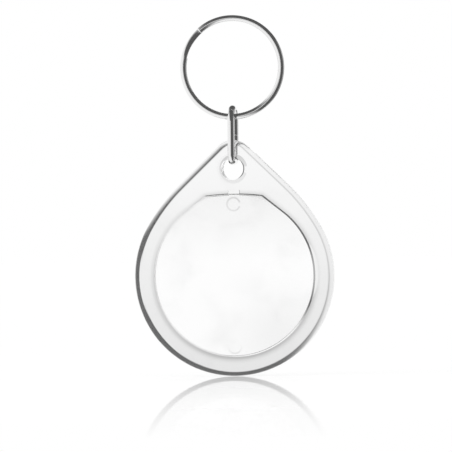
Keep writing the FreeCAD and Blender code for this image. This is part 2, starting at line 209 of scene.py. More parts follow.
@dataclass(frozen=True)
class ClearAcrylic:
    """Injection moulded clear acrylic: glass clear, with the faint ripple of a cheap mould, random smudges,
    and painted shade.

    Attributes:
        name: The material's name.
        centre: Middle of the window, as x and z.
        clear_radius: Outside it the painted shade starts.
        clear_edge: Over this distance.
        heights: Between these two heights the painted shade changes.
        painted_shade: Painted shade, a darkening of the base colour towards one end: its share at each of
            them.
        painted_shade_spot: Painted shade in a round spot: its share in the spot's middle.
        painted_shade_spot_centre: The spot's middle, as x and z.
        painted_shade_spot_radius: The spot's edge.
        smudge: Share that the worst smudge takes.
        smudge_size: Size of a smudge.
        depth_colour: Colour that the light takes on its way through the plastic, as a hex colour.
        absorption: How fast it takes that colour, for each metre.
        ripple_size: Distance between the ripples that the flowing plastic leaves.
        ripple_depth: Their depth.
        ior: Index of refraction of acrylic.
    """

    name: str
    centre: tuple[float, float]
    clear_radius: float
    clear_edge: float
    heights: tuple[float, float]
    painted_shade: tuple[float, float]
    painted_shade_spot: float = 0.0
    painted_shade_spot_centre: tuple[float, float] = (0.0, 0.0)
    painted_shade_spot_radius: float = 1 * MM
    smudge: float = 0.035
    smudge_size: float = 9 * MM
    depth_colour: str = "#808080"
    absorption: float = 3.0
    ripple_size: float = 7 * MM
    ripple_depth: float = 0.004 * MM
    ior: float = 1.49

    def smudges_and_painted_shade(self, tree: bpy.types.NodeTree, place: bpy.types.NodeSocket) -> bpy.types.NodeSocket:
        """Return the base colour's grey at a place, darkened by random smudges and by painted shade.

        Args:
            tree: The material's tree.
            place: The place, in object coordinates.

        Returns:
            A grey between 0 and 1.
        """
        parts = add_node(tree, "ShaderNodeSeparateXYZ", {0: place})
        flat = add_node(tree, "ShaderNodeCombineXYZ", {"X": parts.outputs["X"], "Z": parts.outputs["Z"]})
        from_middle, from_shade_spot = (
            add_node(
                tree, "ShaderNodeVectorMath", {0: flat.outputs[0], 1: (x, 0, z)}, operation="DISTANCE"
            ).outputs["Value"]
            for x, z in (self.centre, self.painted_shade_spot_centre)
        )
        # painted shade: outside the clear middle, the base colour darkens towards one end
        outside = add_node(
            tree,
            "ShaderNodeMapRange",
            {
                "Value": from_middle,
                "From Min": self.clear_radius,
                "From Max": self.clear_radius + self.clear_edge,
            },
        ).outputs[0]
        by_height = add_node(
            tree,
            "ShaderNodeMapRange",
            {
                "Value": parts.outputs["Z"],
                "From Min": self.heights[0],
                "From Max": self.heights[1],
                "To Min": self.painted_shade[0],
                "To Max": self.painted_shade[1],
            },
        ).outputs[0]
        painted_shade = add_node(
            tree, "ShaderNodeMath", {0: outside, 1: by_height}, operation="MULTIPLY"
        ).outputs[0]
        noise = add_node(
            tree,
            "ShaderNodeTexNoise",
            {"Vector": place, "Scale": 1 / self.smudge_size, "Detail": 3.0, "Distortion": 0.6},
        ).outputs["Fac"]
        smudges = add_node(
            tree,
            "ShaderNodeMapRange",
            {"Value": noise, "From Min": 0.5, "From Max": 0.75, "To Max": self.smudge},
        ).outputs[0]
        # painted shade: a darker round spot
        painted_shade_spot = add_node(
            tree,
            "ShaderNodeMapRange",
            {
                "Value": from_shade_spot,
                "From Min": self.painted_shade_spot_radius,
                "From Max": 0.0,
                "To Max": self.painted_shade_spot,
            },
            interpolation_type="SMOOTHSTEP",
        ).outputs[0]
        smudges_and_shade_spot = add_node(tree, "ShaderNodeMath", {0: smudges, 1: painted_shade_spot}).outputs[0]
        smudge_and_shade_share = add_node(tree, "ShaderNodeMath", {0: painted_shade, 1: smudges_and_shade_spot}).outputs[0]
        return add_node(tree, "ShaderNodeMath", {0: 1.0, 1: smudge_and_shade_share}, operation="SUBTRACT").outputs[0]

    def build(self) -> bpy.types.Material:
        """Make it.

        Returns:
            The material.
        """
        material = bpy.data.materials.new(self.name)
        tree = new_tree(material)
        place = add_node(tree, "ShaderNodeTexCoord").outputs["Object"]
        # base colour: random smudges, and painted shade towards one end and in a spot
        clear = self.smudges_and_painted_shade(tree, place)
        grey = add_node(tree, "ShaderNodeCombineColor", {"Red": clear, "Green": clear, "Blue": clear})
        ripple = add_node(
            tree, "ShaderNodeTexNoise", {"Vector": place, "Scale": 1 / self.ripple_size, "Detail": 1.0}
        ).outputs["Fac"]
        bump = add_node(
            tree, "ShaderNodeBump", {"Height": ripple, "Distance": self.ripple_depth, "Strength": 1.0}
        ).outputs[0]
        shader = add_node(
            tree,
            "ShaderNodeBsdfPrincipled",
            {
                "Base Color": grey.outputs[0],
                "Roughness": 0.0,
                "IOR": self.ior,
                "Transmission Weight": 1.0,
                "Normal": bump,
            },
        )
        depth = add_node(
            tree,
            "ShaderNodeVolumeAbsorption",
            {"Color": linear(self.depth_colour), "Density": self.absorption},
        )
        add_node(tree, "ShaderNodeOutputMaterial", {"Surface": shader.outputs[0], "Volume": depth.outputs[0]})
        return material


@dataclass(frozen=True)
class Arc:
    """A round stretch of an outline in the XZ plane, anticlockwise as seen from the front.

    Attributes:
        centre: The centre's x and z.
        radius: The radius.
        start: Where it starts, in degrees anticlockwise from +X.
        sweep: How far it turns, in degrees.
    """

    centre: tuple[float, float]
    radius: float
    start: float
    sweep: float

    def points(self, inset: float, step: float) -> list[tuple[float, float]]:
        """Return points along the arc.

        Args:
            inset: How far inside the arc they lie.
            step: The greatest turn from one point to the next, in degrees.

        Returns:
            The points' x and z, both ends among them.
        """
        count = max(1, math.ceil(self.sweep / step))
        reach = self.radius - inset
        turns = (math.radians(self.start + self.sweep * i / count) for i in range(count + 1))
        return [(self.centre[0] + reach * math.cos(t), self.centre[1] + reach * math.sin(t)) for t in turns]


@dataclass(frozen=True)
class Outline:
    """A closed convex outline: arcs, with straight stretches from each to the next.

    Attributes:
        arcs: The arcs, anticlockwise.
        step: The greatest turn from one point to the next, in degrees.
    """

    arcs: tuple[Arc, ...]
    step: float = 1.5

    def points(self, y: float, inset: float = 0.0) -> list[Vector]:
        """Return the outline's points at depth y, moved inwards by inset, each of them once."""
        along = [Vector((x, y, z)) for arc in self.arcs for x, z in arc.points(inset, self.step)]
        return [point for before, point in zip([along[-1], *along], along) if (point - before).length > 1e-7]


def circle(centre: tuple[float, float], radius: float, sides: int) -> Outline:
    """Return the outline of a circle in the XZ plane.

    Args:
        centre: Its centre's x and z.
        radius: Its radius.
        sides: How many points it has.

    Returns:
        The outline.
    """
    step = 360 / sides
    return Outline((Arc(centre, radius, 0, 360 - step),), step)


def activate(piece: bpy.types.Object) -> None:
    """Make one object the only selected and the active one.

    Args:
        piece: The object.
    """
    bpy.ops.object.select_all(action="DESELECT")
    piece.select_set(True)
    bpy.context.view_layer.objects.active = piece


def circle_through(name: str, points: list[Vector], fill: str) -> bpy.types.Object:
    """Add a circle primitive and draw it out to an outline.

    Args:
        name: The new piece's name.
        points: The outline's points.
        fill: "NGON" for a face, "NOTHING" for its edge alone.

    Returns:
        The piece, which is active.
    """
    bpy.ops.mesh.primitive_circle_add(vertices=len(points), fill_type=fill)
    piece = bpy.context.object
    piece.name = piece.data.name = name
    for vertex, point in zip(piece.data.vertices, points):
        vertex.co = point
    return piece


def stack(name: str, rings: list[list[Vector]]) -> bpy.types.Object:
    """Extrude a face from ring to ring into a closed solid.

    Args:
        name: The new piece's name.
        rings: The rings from front to back, with as many points each, in the same order.

    Returns:
        The piece, which is active.
    """
    piece = circle_through(name, rings[0], "NGON")
    mesh = piece.data
    order = {tuple(vertex.co): index for index, vertex in enumerate(mesh.vertices)}
    bpy.context.tool_settings.mesh_select_mode = (False, False, True)
    bpy.ops.object.mode_set(mode="EDIT")
    bpy.ops.mesh.select_all(action="SELECT")
    for ring in rings[1:]:
        bpy.ops.mesh.extrude_region_move(TRANSFORM_OT_translate={"value": (0, 0, 0)})
        bpy.ops.object.mode_set(mode="OBJECT")
        carried = {vertex.index: order[tuple(vertex.co)] for vertex in mesh.vertices if vertex.select}
        order = {}
        for index, place in carried.items():
            mesh.vertices[index].co = ring[place]
            order[tuple(mesh.vertices[index].co)] = place
        bpy.ops.object.mode_set(mode="EDIT")
    bpy.ops.mesh.select_all(action="SELECT")
    bpy.ops.mesh.normals_make_consistent(inside=False)
    bpy.ops.object.mode_set(mode="OBJECT")
    log.info("%s: stacked %d rings", name, len(rings))
    return piece


def block(name: str, size: tuple[float, float, float], place: Vector, turn: Vector) -> bpy.types.Object:
    """Add a box.

    Args:
        name: The new piece's name.
        size: Its lengths.
        place: Its centre.
        turn: Its turns round X, Y and Z.

    Returns:
        The piece, which is active.
    """
    bpy.ops.mesh.primitive_cube_add(size=1, scale=size)
    bpy.ops.object.transform_apply(location=True, rotation=True, scale=True)
    piece = bpy.context.object
    piece.name = piece.data.name = name
    piece.location, piece.rotation_euler = place, turn
    bpy.ops.object.transform_apply(location=True, rotation=True, scale=True)
    return piece


def quarter_round(radius: float, steps: int) -> list[tuple[float, float]]:
    """Return a rounded edge's profile.

    Args:
        radius: Its radius.
        steps: How many steps it takes.

    Returns:
        For each point, how far inside the outline and how far behind the flat face it lies.
    """
    turns = (math.radians(90 * i / steps) for i in range(steps + 1))
    return [(radius * (1 - math.sin(t)), radius * (1 - math.cos(t))) for t in turns]


def subtract(piece: bpy.types.Object, cutter: bpy.types.Object) -> None:
    """Cut one closed piece out of another.

    Args:
        piece: What is cut.
        cutter: What is cut out, and then deleted.
    """
    activate(piece)
    modifier = piece.modifiers.new("cut", "BOOLEAN")
    modifier.operation = "DIFFERENCE"
    modifier.solver = "EXACT"
    modifier.object = cutter
    bpy.ops.object.modifier_apply(modifier=modifier.name)
    bpy.data.objects.remove(cutter)


def smooth(piece: bpy.types.Object, angle: float, flat_faces: bool) -> None:
    """Shade a piece smooth up to an angle.

    Args:
        piece: The piece.
        angle: Edges that turn by more than this many degrees stay sharp.
        flat_faces: Whether it has flat faces that stay flat beside their roundings.
    """
    activate(piece)
    bpy.ops.object.shade_smooth_by_angle(angle=math.radians(angle), keep_sharp_edges=False)
    if not flat_faces:
        return
    bpy.ops.object.modifier_add(type="WEIGHTED_NORMAL")
    modifier = piece.modifiers[-1]
    modifier.mode = "FACE_AREA"
    modifier.weight = 100
    modifier.keep_sharp = True
    bpy.ops.object.modifier_apply(modifier=modifier.name)


def dress(piece: bpy.types.Object, material: bpy.types.Material, body: str, node: str) -> None:
    """Give a finished piece its material, and put it in its node's place.

    Args:
        piece: The piece, in place.
        material: Its material.
        body: The body that carries it.
        node: The node that it stands for.
    """
    piece.data.materials.clear()
    piece.data.materials.append(material)
    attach(piece, body)
    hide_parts(node)
    log.info("%s: %d faces, rides on %s", piece.name, len(piece.data.polygons), body)


class Wire:
    """A wire's skin, drawn by carrying its section along runs and bends."""

    def __init__(self, name: str, section: list[Vector]) -> None:
        """Start at a cut end.

        Args:
            name: The piece's name.
            section: The section's points, in place.
        """
        self.piece = circle_through(name, section, "NOTHING")
        self.sides = len(section)
        bpy.ops.object.mode_set(mode="EDIT")
        bpy.ops.mesh.select_all(action="SELECT")

    def run(self, step: Vector) -> None:
        """Carry the section straight on."""
        bpy.ops.mesh.extrude_edges_move(TRANSFORM_OT_translate={"value": step})

    def bend(self, centre: Vector, axis: Vector, angle: float, steps: int) -> None:
        """Carry the section round an axis by an angle in degrees; the operator turns it the other way."""
        bpy.ops.mesh.spin(steps=steps, angle=-math.radians(angle), center=centre, axis=axis)

    def shift(self, step: Vector) -> None:
        """Move the section that was carried last."""
        bpy.ops.transform.translate(value=step)

    def cut_off(self, rounding: float) -> bpy.types.Object:
        """Close both ends with slightly rounded edges.

        Args:
            rounding: Width of that rounding.

        Returns:
            The finished piece.
        """
        bpy.ops.mesh.select_all(action="SELECT")
        bpy.ops.mesh.fill_holes(sides=0)
        bpy.ops.mesh.select_all(action="SELECT")
        bpy.ops.mesh.normals_make_consistent(inside=False)
        bpy.ops.mesh.select_all(action="DESELECT")
        bpy.ops.mesh.select_mode(type="FACE")
        bpy.ops.mesh.select_face_by_sides(number=self.sides, type="EQUAL")
        bpy.ops.mesh.region_to_loop()
        bpy.ops.mesh.bevel(offset=rounding, segments=2, profile=0.5, affect="EDGES")
        bpy.ops.object.mode_set(mode="OBJECT")
        return self.piece


@dataclass
class SplitRing:
    """Two turns of flattened wire, joined by the step that carries one behind the other.

    Attributes:
        wire_width: The wire across the ring's radius.
        side_radius: Radius of the wire's round sides; its two faces are flatter arcs that meet them.
        turn_gap: Gap between the two turns.
        end_angle: Front cut end, in degrees leftwards from the top.
        jog_angle: Arc over which the wire steps back, in degrees.
        step_angle: The turn from one section to the next, in degrees.
        end_rounding: Rounding of the cut ends.
        section_step: The turn from one point of the wire's section to the next, in degrees.
    """

    wire_width: float = 1.4 * MM
    side_radius: float = 0.3 * MM
    turn_gap: float = 0.08 * MM
    end_angle: float = 41.6
    jog_angle: float = 36.0
    step_angle: float = 1.5
    end_rounding: float = 0.1 * MM
    section_step: float = 5.0

    def build(self) -> bpy.types.Object:
        """Wind the ring's two turns.

        Returns:
            The ring.
        """
        low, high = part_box("split_ring")
        centre = (low + high) / 2
        outer = (high.x - low.x) / 2
        thickness = (high.y - low.y - self.turn_gap) / 2
        middle = outer - self.wire_width / 2
        side = self.wire_width / 2 - self.side_radius
        half = thickness / 2
        face_radius = (half**2 - self.side_radius**2 + side**2) / (2 * (half - self.side_radius))
        lean = math.degrees(math.asin(side / (face_radius - self.side_radius)))
        section = Outline(
            (
                Arc((side, 0), self.side_radius, lean - 90, 180 - 2 * lean),
                Arc((0, half - face_radius), face_radius, 90 - lean, 2 * lean),
                Arc((-side, 0), self.side_radius, 90 + lean, 180 - 2 * lean),
                Arc((0, face_radius - half), face_radius, 270 - lean, 2 * lean),
            ),
            self.section_step,
        )
        turn = math.radians(self.end_angle)
        outward = Vector((-math.sin(turn), 0, math.cos(turn)))
        front = low.y + thickness / 2
        points = [
            centre + outward * (middle + point.x) + BACKWARD * (front - centre.y + point.z)
            for point in section.points(0)
        ]
        wire = Wire("split_ring_wire", points)
        steps = round((360 - self.jog_angle) / self.step_angle)
        wire.bend(centre, BACKWARD, 360 - self.jog_angle, steps)
        jog_steps = round(self.jog_angle / self.step_angle)
        eased = [s * s * (3 - 2 * s) for s in (i / jog_steps for i in range(jog_steps + 1))]
        for before, after in zip(eased, eased[1:]):
            wire.bend(centre, BACKWARD, self.step_angle, 1)
            wire.shift(BACKWARD * (after - before) * (thickness + self.turn_gap))
        wire.bend(centre, BACKWARD, 360 - self.jog_angle, steps)
        ring = wire.cut_off(self.end_rounding)
        smooth(ring, WIRE_EDGE, flat_faces=False)
        finish = PlatedSteel("nickel_plated_ring_wire", Grain.ROUND_THE_RING, centre=tuple(centre))
        dress(ring, finish.build(), "ring", "split_ring")
        return ring


@dataclass
class Link:
    """One oval loop of round wire, bent edge-on, its ends butted in the back strand.

    Attributes:
        top_run: Straight length between the two wide bends over the split ring.
        bend_radius: Centre line of the two tighter bends below.
        cut_gap: Gap between the butted ends.
        sides: Sides of the round wire.
        bend_steps: Sections in each corner bend.
        end_rounding: Rounding of the cut ends.
    """

    top_run: float = 0.6 * MM
    bend_radius: float = 1.65 * MM
    cut_gap: float = 0.05 * MM
    sides: int = 32
    bend_steps: int = 16
    end_rounding: float = 0.03 * MM

    def build(self) -> bpy.types.Object:
        """Bend the link from its back gap over the top, down the front and back up.

        Returns:
            The link.
        """
        low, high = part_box("link")
        wire_radius = (high.x - low.x) / 2
        middle = (low + high) / 2
        half_depth = (high.y - low.y) / 2 - wire_radius
        half_height = (high.z - low.z) / 2 - wire_radius
        gap = self.cut_gap / 2
        top_bend, bend = half_depth - self.top_run / 2, self.bend_radius
        section = circle((0, 0), wire_radius, self.sides)
        start = middle + BACKWARD * half_depth + UP * gap
        wire = Wire("link_wire", [start + Vector((p.x, p.z, 0)) for p in section.points(0)])
        wire.run(UP * (half_height - top_bend - gap))
        legs = (
            (half_depth - top_bend, half_height - top_bend, BACKWARD * -self.top_run),
            (top_bend - half_depth, half_height - top_bend, UP * (top_bend + bend - 2 * half_height)),
            (bend - half_depth, bend - half_height, BACKWARD * 2 * (half_depth - bend)),
            (half_depth - bend, bend - half_height, UP * (half_height - bend - gap)),
        )
        for y, z, leg in legs:
            wire.bend(middle + BACKWARD * y + UP * z, Vector((1, 0, 0)), 90, self.bend_steps)
            wire.run(leg)
        link = wire.cut_off(self.end_rounding)
        smooth(link, WIRE_EDGE, flat_faces=False)
        finish = PlatedSteel("nickel_plated_link_wire", Grain.UPRIGHT)
        dress(link, finish.build(), "link", "link")
        return link


@dataclass
class Holder:
    """The teardrop moulding with its pane, and the disc that snaps in behind.

    Attributes:
        body_radius: Lower circle of the teardrop.
        body_rounding: Rounding of the outer edge.
        body_steps: Steps in that rounding.
        shoulder_radius: Flatter arc above the circle.
        shoulder_start: Where that arc leaves the circle, in degrees from the top.
        flank_angle: Direction of the straight flank's normal, in degrees from the top.
        tip_radius: Rounded tip.
        hole_diameter: Hole for the link.
        hole_slope: Shallow lead-in round both mouths of the hole: width and depth.
        hole_sides: Sides of the hole's wall.
        tip_wall: Wall between the hole and the tip.
        rim_width: Outer edge to the round part of the window.
        window_hole_wall: Wall between the window's flattened top and the hole.
        window_top_radius: The flattened top's own radius.
        window_shoulder: Where the circle runs out to the top corners, in degrees from the top.
        window_corner: Radius of the two top corners.
        pane_thickness: Front pane.
        disc_clearance: Gap round the disc.
        disc_rounding: Rounding of the disc's edges.
        disc_steps: Steps in that rounding.
        draft: Draft of the recess and of the disc's edge, in degrees.
        bevel_width: Lead-in round the recess, across the back face.
        bevel_depth: The same, into the back face.
        bevel_curve: How much steeper it is beside the window than outside.
        bevel_steps: Steps in that curve.
        notch: Prying notch: width, height and depth.
        mark_diameter: Ejector pin's mark on the disc.
        mark_insets: Its centre below the flattened top, and above the window's bottom.
        mark_depths: How deep the upper and the lower mark are sunk.
        mark_slope: Width of its sloping wall.
        mark_sides: Sides of that wall.
        top_slope: Shallow chamfer along the disc's flattened top, beside the notch: width and depth.
        top_length: Its length on each side of the notch.
        top_lean: How it falls towards the corners, in degrees.
        overrun: How far a cut runs past the surface that it opens.
    """

    body_radius: float = 23.95 * MM
    body_rounding: float = 1.4 * MM
    body_steps: int = 16
    shoulder_radius: float = 44.3 * MM
    shoulder_start: float = 60.0
    flank_angle: float = 44.0
    tip_radius: float = 4.8 * MM
    hole_diameter: float = 5.4 * MM
    hole_slope: tuple[float, float] = (0.95 * MM, 0.1 * MM)
    hole_sides: int = 120
    tip_wall: float = 4.2 * MM
    rim_width: float = 4.55 * MM
    window_hole_wall: float = 3.22 * MM
    window_top_radius: float = 56.0 * MM
    window_shoulder: float = 38.3
    window_corner: float = 1.0 * MM
    pane_thickness: float = 1.5 * MM
    disc_clearance: float = 0.12 * MM
    disc_rounding: float = 0.1 * MM
    disc_steps: int = 4
    draft: float = 4.5
    bevel_width: float = 2.1 * MM
    bevel_depth: float = 0.3 * MM
    bevel_curve: float = 1.0
    bevel_steps: int = 10
    notch: tuple[float, float, float] = (2.7 * MM, 0.8 * MM, 1.2 * MM)
    mark_diameter: float = 3.1 * MM
    mark_insets: tuple[float, float] = (2.55 * MM, 2.4 * MM)
    mark_depths: tuple[float, float] = (0.088 * MM, 0.066 * MM)
    mark_slope: float = 0.4 * MM
    mark_sides: int = 72
    top_slope: tuple[float, float] = (0.6 * MM, 0.2 * MM)
    top_length: float = 5.6 * MM
    top_lean: float = 3.5
    overrun: float = 1.0 * MM

    def __post_init__(self) -> None:
        """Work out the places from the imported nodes."""
        self.low, self.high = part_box("front_frame")
        self.centre_z = self.low.z + self.body_radius
        self.tip_z = self.high.z - self.tip_radius
        self.hole_z = self.high.z - self.tip_wall - self.hole_diameter / 2
        self.window_radius = self.body_radius - self.rim_width
        self.window_top_z = self.hole_z - self.hole_diameter / 2 - self.window_hole_wall

    def teardrop(self) -> Outline:
        """Work out the holder's outline.

        Returns:
            The outline, from its right shoulder on.
        """
        start = math.radians(self.shoulder_start)
        aside = (self.shoulder_radius - self.body_radius) * math.sin(start)
        below = (self.shoulder_radius - self.body_radius) * math.cos(start)
        shoulder_turn = self.shoulder_start - self.flank_angle
        right, left = 90 - self.shoulder_start, 90 + self.flank_angle
        low_z = self.centre_z - below
        return Outline(
            (
                Arc((-aside, low_z), self.shoulder_radius, right, shoulder_turn),
                Arc((0, self.tip_z), self.tip_radius, 90 - self.flank_angle, 2 * self.flank_angle),
                Arc((aside, low_z), self.shoulder_radius, left, shoulder_turn),
                Arc(
                    (0, self.centre_z),
                    self.body_radius,
                    left + shoulder_turn,
                    360 - 2 * self.shoulder_start,
                ),
            )
        )

    def window(self, inset: float = 0.0) -> Outline:
        """Work out the window's outline.

        Args:
            inset: How far it is moved inwards.

        Returns:
            The outline, from its right top corner on.
        """
        shoulder = math.radians(self.window_shoulder)
        corner_reach = self.window_radius - self.window_corner
        top_centre = self.window_top_z - self.window_top_radius - self.centre_z
        offset = corner_reach - top_centre * math.cos(shoulder)
        top_reach = self.window_top_radius - self.window_corner
        run = top_centre * math.sin(shoulder) + math.sqrt(top_reach**2 - offset**2)
        side = corner_reach * math.sin(shoulder) - run * math.cos(shoulder)
        lift = corner_reach * math.cos(shoulder) + run * math.sin(shoulder)
        lean = math.degrees(math.atan2(side, lift - top_centre))
        corner_z, top_z = self.centre_z + lift, self.centre_z + top_centre
        corner_turn = self.window_shoulder - lean
        corner = self.window_corner - inset
        return Outline(
            (
                Arc((side, corner_z), corner, 90 - self.window_shoulder, corner_turn),
                Arc((0, top_z), self.window_top_radius - inset, 90 - lean, 2 * lean),
                Arc((-side, corner_z), corner, 90 + lean, corner_turn),
                Arc(
                    (0, self.centre_z),
                    self.window_radius - inset,
                    90 + self.window_shoulder,
                    360 - 2 * self.window_shoulder,
                ),
            )
        )

    def rounded(
        self, outline: Outline, front: float, back: float, radius: float, steps: int, taper: float = 0.0
    ) -> list[list[Vector]]:
        """Work out a slab with rounded edges.

        Args:
            outline: The slab's outline at its back.
            front: Depth of its front face.
            back: Depth of its back face.
            radius: Rounding of its edges.
            steps: Steps in each rounding.
            taper: How much narrower it gets towards the front, for each unit of depth.

        Returns:
            The rings, from front to back.
        """
        profile = quarter_round(radius, steps)
        places = [(front + behind, inset) for inset, behind in profile]
        places += [(back - behind, inset) for inset, behind in reversed(profile)]
        return [outline.points(y, inset + (back - y) * taper) for y, inset in places]

    def hole_cutter(self) -> bpy.types.Object:
        """Make a cutter for the link's hole, with its two lead-ins.

        Returns:
            The cutter.
        """
        front, back = self.low.y, self.high.y
        width, depth = self.hole_slope
        outline = circle((0, self.hole_z), self.hole_diameter / 2, self.hole_sides)
        places = (
            (front - self.overrun, -width),
            (front, -width),
            (front + depth, 0),
            (back - depth, 0),
            (back, -width),
            (back + self.overrun, -width),
        )
        return stack("hole_cutter", [outline.points(y, inset) for y, inset in places])

    def mark_cutter(self, height: float, y: float, sunk: float) -> bpy.types.Object:
        """Make a cutter for an ejector pin's mark.

        Args:
            height: Its centre's height.
            y: Where the disc's inner face lies.
            sunk: Its depth.

        Returns:
            The cutter.
        """
        outline = circle((0, height), self.mark_diameter / 2, self.mark_sides)
        half = self.mark_slope / 2
        places = ((y - self.overrun, -half), (y, -half), (y + sunk, half))
        return stack("mark_cutter", [outline.points(depth, inset) for depth, inset in places])

    def top_cutter(self, side: int, y: float) -> bpy.types.Object:
        """Make a cutter for the chamfer along the disc's top.

        Args:
            side: 1 to the right of the notch, -1 to its left.
            y: Where the disc's back face lies.

        Returns:
            The cutter.
        """
        width, depth = self.top_slope
        aside = side * (self.notch[0] + self.top_length) / 2
        return block(
            "top_cutter",
            (self.top_length, 2 * depth, 2 * width),
            Vector((aside, y, self.window_top_z - self.disc_clearance)),
            Vector((-math.atan2(depth, width), side * math.radians(self.top_lean), 0)),
        )

    def recess_cutter(self) -> bpy.types.Object:
        """Make a cutter for the window's recess, whose mouth widens in a curve to the back face.

        Returns:
            The cutter.
        """
        window = self.window()
        floor, back = self.low.y + self.pane_thickness, self.high.y
        drawn_in = (back - self.bevel_depth - floor) * math.tan(math.radians(self.draft))
        rings = [window.points(floor, inset=drawn_in)]
        for step in range(self.bevel_steps + 1):
            left = 1 - step / self.bevel_steps
            depth = self.bevel_depth * left * (1 + self.bevel_curve * left) / (1 + self.bevel_curve)
            rings.append(window.points(back - depth, inset=-self.bevel_width * (1 - left)))
        rings.append(window.points(back + self.overrun, inset=-self.bevel_width))
        return stack("recess_cutter", rings)

    def build_frame(self) -> bpy.types.Object:
        """Mould the teardrop with its link hole, window recess and prying notch.

        Returns:
            The frame.
        """
        back = self.high.y
        rings = self.rounded(self.teardrop(), self.low.y, back, self.body_rounding, self.body_steps)
        plate = stack("front_frame_moulding", rings)
        subtract(plate, self.hole_cutter())
        subtract(plate, self.recess_cutter())
        width, height, depth = self.notch
        middle = Vector((0, back + (self.overrun - depth) / 2, self.window_top_z))
        subtract(plate, block("notch_cutter", (width, depth + self.overrun, 2 * height), middle, Vector()))
        smooth(plate, MOULDED_EDGE, flat_faces=True)
        # painted shade: the frame's base colour darkens towards its bottom, outside the window
        material = ClearAcrylic(
            "moulded_acrylic_frame",
            centre=(0, self.centre_z),
            clear_radius=self.window_radius,
            clear_edge=0.3 * MM,
            heights=(self.low.z, self.hole_z),
            painted_shade=(0.205, 0.055),
        )
        dress(plate, material.build(), "holder", "front_frame")
        return plate

    def build_disc(self) -> bpy.types.Object:
        """Mould the disc that closes the recess, with its two ejector marks on the inner face.

        Returns:
            The disc.
        """
        low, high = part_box("back_disc")
        outline = self.window(inset=self.disc_clearance)
        taper = math.tan(math.radians(self.draft))
        rings = self.rounded(outline, low.y, high.y, self.disc_rounding, self.disc_steps, taper)
        disc = stack("back_disc_moulding", rings)
        upper, lower = self.mark_insets
        heights = (self.window_top_z - upper, self.centre_z - self.window_radius + lower)
        for height, sunk in zip(heights, self.mark_depths):
            subtract(disc, self.mark_cutter(height, low.y, sunk))
        for side in (-1, 1):
            subtract(disc, self.top_cutter(side, high.y))
        smooth(disc, MOULDED_EDGE, flat_faces=True)
        # painted shade: the disc's base colour darkens towards its top, and in a round spot at the lower
        # right
        material = ClearAcrylic(
            "moulded_acrylic_disc",
            centre=(0, self.centre_z),
            clear_radius=0.0,
            clear_edge=1 * MM,
            heights=(self.centre_z + 0.2 * self.window_radius, self.window_top_z),
            painted_shade=(0.0, 0.11),
            painted_shade_spot=0.1,
            painted_shade_spot_centre=(11 * MM, self.centre_z - 15 * MM),
            painted_shade_spot_radius=17 * MM,
        )
        dress(disc, material.build(), "disc", "back_disc")
        return disc

    def build(self) -> list[bpy.types.Object]:
        """Build the holder's two mouldings."""
        return [self.build_frame(), self.build_disc()]


@dataclass(frozen=True)
class Patch:
    """A soft round patch of light in the room, as metal and plastic see it.

    Attributes:
        middle: Where it lies, as a unit vector.
        edge: Angle from there at which it ends, in degrees.
        core: Angle from there up to which it is full, in degrees.
        strength: How bright it is there, where 1 is white.
    """

    middle: tuple[float, float, float]
    edge: float
    core: float
    strength: float = 1.0

    def build(self, tree: bpy.types.NodeTree, towards: bpy.types.NodeSocket) -> bpy.types.NodeSocket:
        """Add its nodes.

        Args:
            tree: The world's tree.
            towards: The direction of a look.

        Returns:
            Its brightness in that direction.
        """
        spread = add_node(tree, "ShaderNodeVectorMath", {0: towards, 1: self.middle}, operation="DOT_PRODUCT")
        return add_node(
            tree,
            "ShaderNodeMapRange",
            {
                "Value": spread.outputs["Value"],
                "From Min": math.cos(math.radians(self.edge)),
                "From Max": math.cos(math.radians(self.core)),
                "To Max": self.strength,
            },
            interpolation_type="SMOOTHSTEP",
        ).outputs[0]


@dataclass(frozen=True)
class SoftLamp:
    """A soft square lamp that faces the object.

    Attributes:
        name: Its name.
        place: Where it hangs.
        size: Length of its side.
        watts: Its power.
        target: The point that it faces.
    """

    name: str
    place: tuple[float, float, float]
    size: float
    watts: float
    target: tuple[float, float, float] = (0.0, 0.0, -50 * MM)

    def build(self) -> bpy.types.Object:
        """Hang it up, out of sight of metal and plastic.

        Returns:
            The lamp.
        """
        aim = (Vector(self.target) - Vector(self.place)).to_track_quat("-Z", "Y").to_euler()
        bpy.ops.object.light_add(type="AREA", location=self.place, rotation=aim)
        lamp = bpy.context.object
        lamp.name = lamp.data.name = self.name
        lamp.data.size = self.size
        lamp.data.energy = self.watts
        lamp.visible_glossy = lamp.visible_transmission = False
        return lamp


